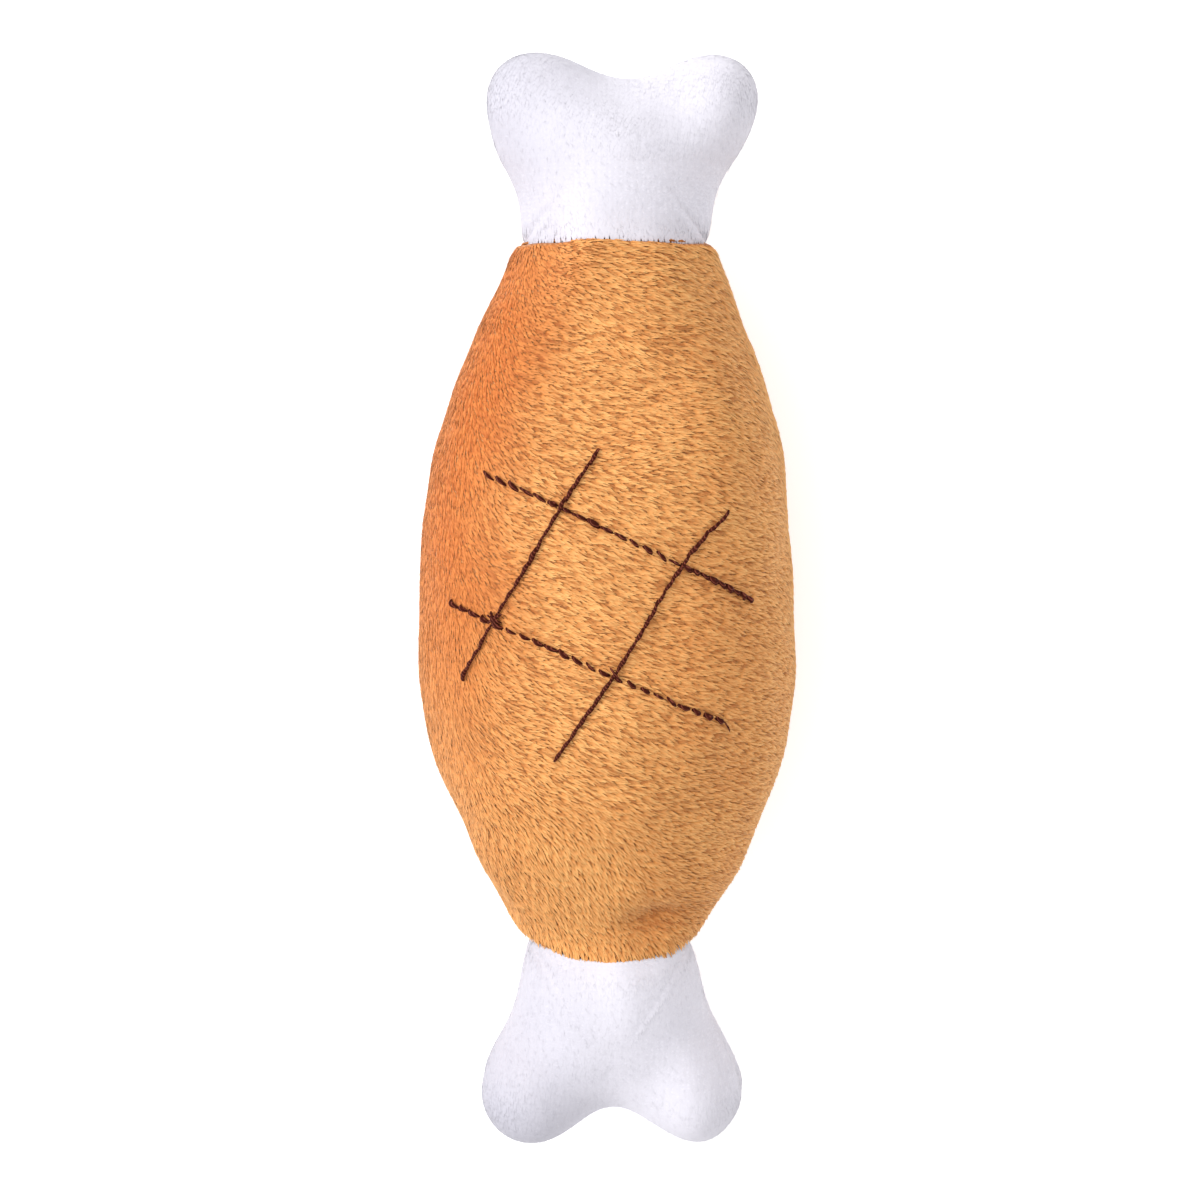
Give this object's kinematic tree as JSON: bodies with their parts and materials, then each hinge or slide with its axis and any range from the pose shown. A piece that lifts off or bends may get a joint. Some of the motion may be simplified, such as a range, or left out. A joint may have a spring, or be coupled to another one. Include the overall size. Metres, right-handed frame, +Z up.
{
  "type": "squeaky plush dog toy",
  "caption": "Stuffed plush dog toy shaped like a roast on a bone: tan barrel body with embroidered grill lines, white lobed bone ends and a squeaker inside.",
  "frame": {"origin": "middle of the toy's outline, on the table that the back of the body rests on", "axes": "+Y along the toy towards the top end of the bone, +X across it to the right of the embroidered front, +Z up through the embroidered front"},
  "size_m": [0.0704, 0.1987, 0.0618],
  "materials": {
    "tan_plush": "short plush pile, tan",
    "white_plush": "short plush pile, white",
    "fibre_filling": "loose polyester fibre",
    "brown_thread": "dark brown embroidery thread, soft sheen",
    "backing_cloth": "thin felted backing",
    "tan_thread": "tan sewing thread",
    "white_thread": "white sewing thread",
    "bladder_plastic": "soft translucent polyethylene",
    "holder_plastic": "smooth moulded plastic",
    "reed_film": "thin springy film"
  },
  "bodies": {
    "back": {"body_back_panel": "tan_plush", "body_back_filling": "fibre_filling", "top_bone_front_panel": "white_plush", "top_bone_back_panel": "white_plush", "top_bone_filling": "fibre_filling", "bottom_bone_front_panel": "white_plush", "bottom_bone_back_panel": "white_plush", "bottom_bone_filling": "fibre_filling", "left_side_seam_thread": "tan_thread", "right_side_seam_thread": "tan_thread", "closing_stitch": "tan_thread", "top_neck_seam_thread": "tan_thread", "bottom_neck_seam_thread": "tan_thread", "top_bone_seam_thread": "white_thread", "bottom_bone_seam_thread": "white_thread", "squeaker_bulb": "bladder_plastic", "reed_holder_lower": "holder_plastic", "reed_holder_upper": "holder_plastic"},
    "front": {"body_front_panel": "tan_plush", "body_front_filling": "fibre_filling", "embroidery_backing": "backing_cloth", "grill_line_upper": "brown_thread", "grill_line_lower": "brown_thread", "grill_line_left": "brown_thread", "grill_line_right": "brown_thread"},
    "reed": {"squeaker_reed": "reed_film"}
  },
  "joints": [
    {"name": "squeeze", "type": "slide", "parent": "back", "child": "front", "axis": [0, 0, -1], "range_m": [0, 0.012], "stiffness_N_per_m": 500, "springref_m": -0.001, "deforming": ["body_front_panel", "body_front_filling", "squeaker_bulb"]},
    {"name": "reed_flex", "type": "hinge", "parent": "back", "child": "reed", "pos_m": [0, 0.0248, 0.0295], "axis": [1, 0, 0], "range_deg": [-5, 5], "stiffness_Nm_per_rad": 0.00002}
  ]
}
